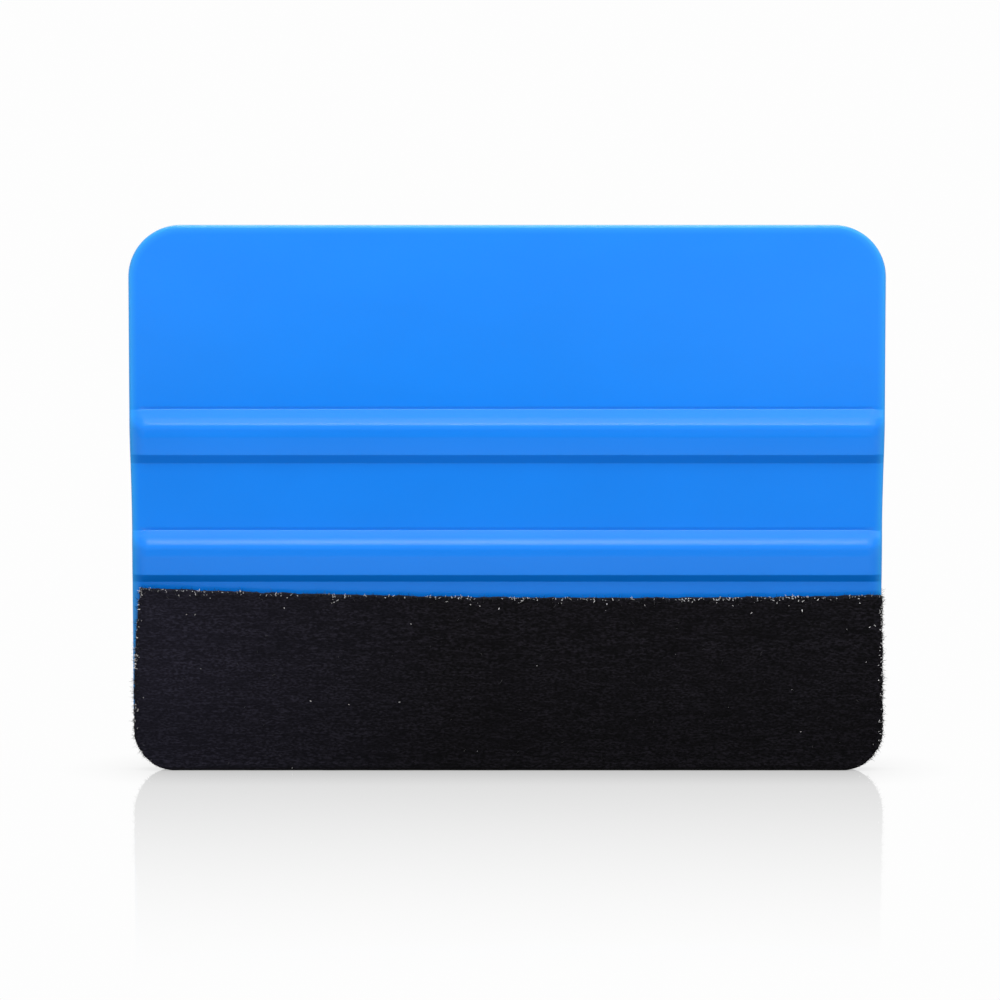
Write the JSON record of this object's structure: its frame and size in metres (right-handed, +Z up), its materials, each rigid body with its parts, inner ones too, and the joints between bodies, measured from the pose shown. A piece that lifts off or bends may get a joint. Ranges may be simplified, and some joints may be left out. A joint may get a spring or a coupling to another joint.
{
  "type": "squeegee applicator",
  "caption": "Rectangular moulded plastic squeegee card with grip ribs across both faces and a strip of felt folded over its working edge, for pressing down vinyl film by hand.",
  "frame": {"origin": "middle of the felt's working edge, on the surface that the card stands on", "axes": "+X along the working edge, +Y from the front face to the back face, +Z up from the working edge to the bare edge"},
  "size_m": [0.1, 0.0052, 0.0729],
  "materials": {
    "card": "satin, fine spark-eroded grain",
    "tape": "thin milky adhesive film",
    "felt": "brushed needle felt"
  },
  "bodies": {
    "root": {"blade_card": "card", "adhesive_tape": "tape", "felt_strip": "felt"}
  },
  "joints": []
}
